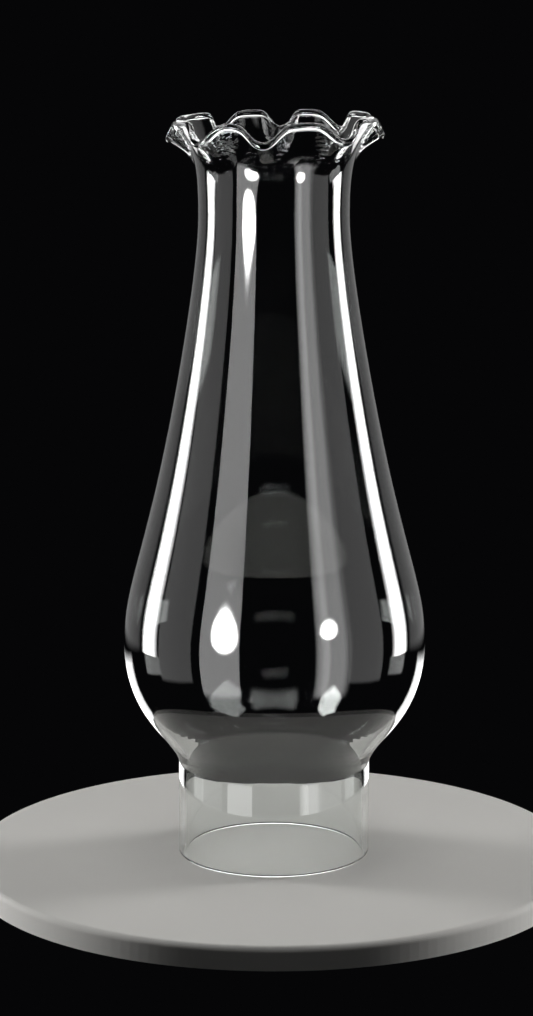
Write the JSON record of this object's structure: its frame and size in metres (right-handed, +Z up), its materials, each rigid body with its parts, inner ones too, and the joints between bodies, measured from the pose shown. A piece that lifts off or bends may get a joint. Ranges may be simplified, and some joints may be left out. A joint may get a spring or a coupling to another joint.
{
  "type": "oil lamp chimney",
  "caption": "Clear glass crimp-top oil lamp chimney: straight fitter collar, pear-shaped bulb, long tapering neck and a flared, ruffled mouth.",
  "frame": {"origin": "centre of the collar's bottom edge, where the chimney stands", "axes": "+Z up along the chimney's axis, -Y towards the viewer; the mouth's crests lie 17 degrees plus whole multiples of 45 degrees from -Y, turning towards +X"},
  "size_m": [0.1038, 0.1038, 0.2546],
  "materials": {
    "glass": "clear blown soda-lime glass, fire-polished edges"
  },
  "bodies": {
    "root": {"chimney": "glass"}
  },
  "joints": []
}
